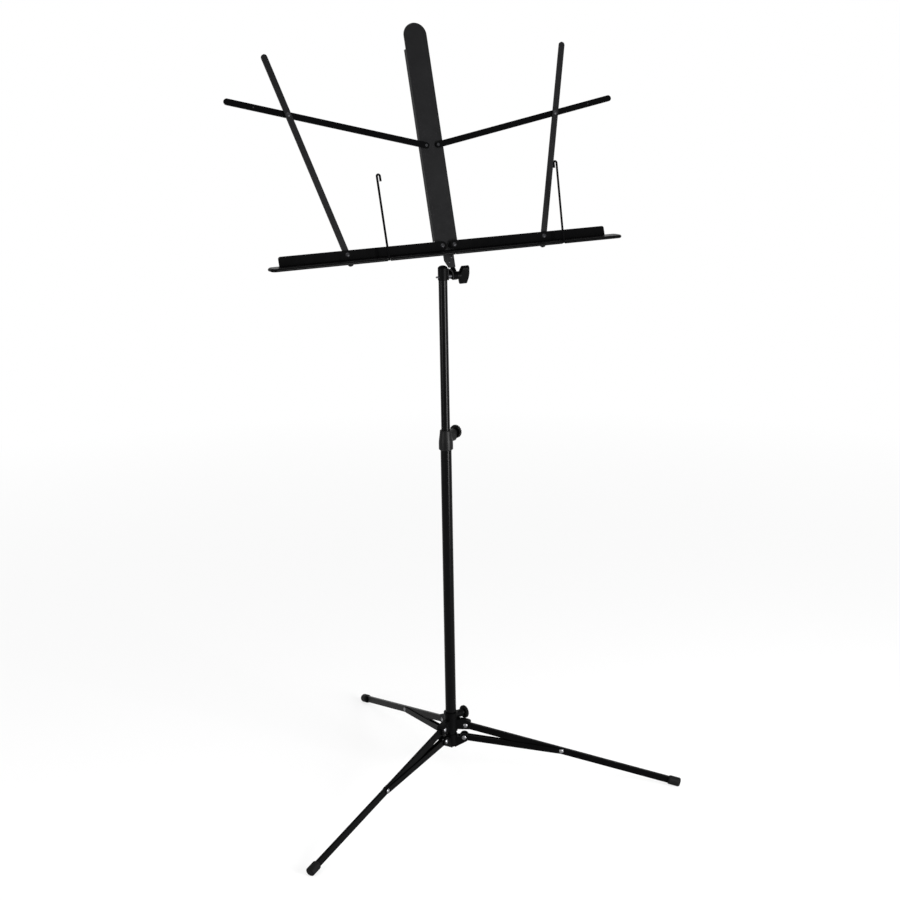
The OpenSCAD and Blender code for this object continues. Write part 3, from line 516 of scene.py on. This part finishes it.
boss = rod(boss_radius, boss_length, sleeve_screw - sleeve_aim * boss_length, sleeve_aim, vertices=64)
pick_points(boss, lambda place: place.z < sleeve_screw.z - hair)
bpy.ops.transform.translate(value=(0, 0, -boss_skirt))
bpy.ops.object.mode_set(mode="OBJECT")
cut(sleeve, boss, "UNION")
below_sleeve = (0, 0, sleeve_low.z - spare)
cut(sleeve, rod(lower_radius, lower_top - sleeve_low.z + spare, below_sleeve, (0, 0, 1)))
cut(sleeve, rod(upper_radius + slide_play, 2 * sleeve_height, below_sleeve, (0, 0, 1)))
screw_start = sleeve_screw - sleeve_aim * (boss_reach - spare)
cut(sleeve, rod(screw_radius, boss_reach, screw_start, sleeve_aim, vertices=32))
round_off(sleeve, 0.5 * MM)
grey_nylon = moulded_nylon(
    "grey_nylon", dark=(0.0018, 0.0018, 0.0019), light=(0.003, 0.003, 0.0032),
    grain=0.3, smooth=0.36, rough=0.46, shine=0.09,
)
finish(sleeve, grey_nylon, "moulded_nylon", "column", "height_sleeve")
dress(nodes["guide_plug"], grey_nylon)


# ---- Clamp knobs ----
# The collar and the sleeve are each clamped by a screw with a round nylon knob: a disc with grip
# flutes round its rim and a slightly dished face, on a short neck that stands off the screw's boss.
knob_radius, knob_disc, knob_edge = 9.4 * MM, 5 * MM, 1.2 * MM
knob_neck, knob_neck_radius = 3 * MM, 4.6 * MM
knob_stand_off, neck_chamfer, neck_bury = 0.3 * MM, 0.4 * MM, 0.3 * MM
flutes, steps = 18, 6
flute_depths = {0: 0.8 * MM, 1: 0.4 * MM, steps - 1: 0.4 * MM}
rim_width, rim_rise, dish_slope, dish_depth = 1.2 * MM, 0.3 * MM, 2.2 * MM, 0.6 * MM
knob_nylon = moulded_nylon(
    "knob_nylon", dark=(0.001, 0.001, 0.0011), light=(0.002, 0.002, 0.0021),
    grain=0.3, smooth=0.34, rough=0.44, shine=0.055,
)


def pick_faces(piece, wanted):
    """In edit mode, selects only the faces whose middle and normal are the wanted ones."""
    take(piece)
    bpy.ops.object.mode_set(mode="EDIT")
    bpy.ops.mesh.select_mode(type="FACE")
    bpy.ops.mesh.select_all(action="DESELECT")
    bpy.ops.object.mode_set(mode="OBJECT")
    for face in piece.data.polygons:
        face.select = wanted(face.center, face.normal)
    bpy.ops.object.mode_set(mode="EDIT")


def step_of(place):
    """Which of a flute's steps a point on a knob's rim belongs to."""
    return round(math.atan2(place.y, place.x) % math.tau / math.tau * flutes * steps) % steps


def clamp_knob(name, node, body, joint):
    """A fluted knob on the end of a clamp screw, standing along its joint's axis."""
    face_on = 0.9
    bpy.ops.object.select_all(action="DESELECT")
    bpy.ops.mesh.primitive_cylinder_add(
        vertices=flutes * steps, radius=knob_radius, depth=knob_disc - 2 * knob_edge,
        location=(0, 0, knob_neck + knob_disc / 2),
    )
    knob = bpy.context.object
    knob.name = name
    bpy.ops.object.transform_apply(location=True)
    for offset, depth in flute_depths.items():
        pick_points(knob, lambda place: step_of(place) == offset)
        share = 1 - depth / knob_radius
        bpy.ops.transform.resize(value=(share, share, 1), center_override=(0, 0, 0))
        bpy.ops.object.mode_set(mode="OBJECT")
    rim_share = 1 - knob_edge / knob_radius
    for side in (1, -1):
        pick_faces(knob, lambda middle, normal: normal.z * side > face_on)
        bpy.ops.mesh.extrude_region_move(TRANSFORM_OT_translate={"value": (0, 0, side * knob_edge)})
        bpy.ops.transform.resize(value=(rim_share, rim_share, 1), center_override=(0, 0, 0))
        bpy.ops.object.mode_set(mode="OBJECT")
    pick_faces(knob, lambda middle, normal: normal.z > face_on)
    bpy.ops.mesh.inset(thickness=rim_width)
    bpy.ops.transform.translate(value=(0, 0, rim_rise))
    bpy.ops.mesh.inset(thickness=dish_slope)
    bpy.ops.transform.translate(value=(0, 0, -dish_depth))
    bpy.ops.object.mode_set(mode="OBJECT")
    neck = turned("neck", [
        (knob_neck_radius - 0.6 * MM, 0),
        (knob_neck_radius - 0.2 * MM, neck_chamfer),
        (knob_neck_radius, knob_neck),
        (knob_neck_radius + 0.4 * MM, knob_neck + neck_bury),
        (hair, knob_neck + neck_bury),
    ])
    cut(knob, neck, "UNION")
    aim = Vector(joints[joint]["axis"])
    put(knob, Vector(joints[joint]["pos_m"]) + aim * knob_stand_off, aim)
    round_off(knob, 0.22 * MM, segments=2, angle=24)
    finish(knob, knob_nylon, "knob_plastic", body, node)


clamp_knob("collar_knob_moulding", "collar_knob", "collar_knob", "collar_knob_turn")
clamp_knob("sleeve_knob_moulding", "sleeve_knob", "sleeve_knob", "sleeve_knob_turn")


# ---- Tilt head ----
# A nylon cap on the upper tube with an arch on its side. The tilt bolt runs through both, with a
# turned spacer under the arch, and a wing nut with a washer clamps the desk's tongue against it.
washer_round, spacer_round = 0.3 * MM, 0.35 * MM
stand_for("tilt_head", "tilt_head_moulding", "mast", black_nylon, "moulded_nylon", rounding=0.6 * MM)
stand_for("wing_knob", "wing_nut_moulding", "wing_knob", black_nylon, "knob_plastic", rounding=0.7 * MM)
stand_for("outer_washer", "washer_moulding", "mast", black_nylon, "knob_plastic", washer_round, segments=2)
dark_steel = plated("blackened_steel_and_painted_shade", colour=(0.03, 0.03, 0.032), smooth=0.38, rough=0.52)
# The spacer is bright steel. It gets the dark steel as painted shade, for the shade that falls on it under
# the arch.
stand_for("spacer_ring", "spacer_turned", "mast", dark_steel, "bright_steel", spacer_round, segments=2)
dress(nodes["tilt_bolt"], dark_steel)


# ---- Central plate and tongue of the desk ----
# The plate is pressed steel with a flange down each side and a round head. The tongue under it is a
# cast steel ear on the tilt bolt, riveted on with two small rivets. Both are coated black.
# Painted sheen: the plate and the steep arms have the same black coat as the rest, here made lighter and
# shinier to stand in for the light that glances off them.
painted_sheen_coat = powder_coat(
    "painted_sheen_coat", dark=(0.004, 0.004, 0.0043), light=(0.006, 0.006, 0.0064),
    smooth=0.28, rough=0.38, shine=0.08,
)
stand_for("spine", "spine_channel", "desk", painted_sheen_coat, "arm_coat", rounding=0.35 * MM)
cast_coat = powder_coat(
    "cast_coat", dark=(0.0004, 0.0004, 0.0005), light=(0.0008, 0.0008, 0.0009),
    smooth=0.45, rough=0.60, shine=0.012,
)
stand_for("desk_tongue", "tongue_casting", "desk", cast_coat, "black_coat", rounding=0.4 * MM)
for node in ("tongue_rivets", "ledge_rivets", "arm_rivets"):
    dress(nodes[node], dark_steel)


# ---- Ledge halves, arms and page retainers ----
# Each half ledge is folded from one coated sheet, with a hem rolled round its front edge. The arms
# are flat bars with round ends, and a bent spring wire swings in each hem to hold the pages.
sheet_round, bar_round, wire_round = 0.25 * MM, 0.4 * MM, 0.1 * MM
for side in ("left", "right"):
    ledge, retainer = f"ledge_{side}", f"retainer_{side}"
    steep, shallow = f"steep_arm_{side}", f"shallow_arm_{side}"
    stand_for(ledge, f"{ledge}_sheet", ledge, black_coat, "black_coat", sheet_round, segments=2)
    # The steep arms get the coat with painted sheen. The shallow arms are the same kind of bar and keep the
    # plain black coat.
    stand_for(steep, f"{steep}_bar", steep, painted_sheen_coat, "arm_coat", bar_round)
    stand_for(shallow, f"{shallow}_bar", shallow, black_coat, "black_coat", bar_round)
    stand_for(retainer, f"{retainer}_wire", retainer, black_coat, "spring_wire", wire_round, segments=1)
    for node in (f"steep_rivet_{side}", f"cross_head_{side}", f"cross_rivet_{side}"):
        dress(nodes[node], dark_steel)

bpy.context.view_layer.update()
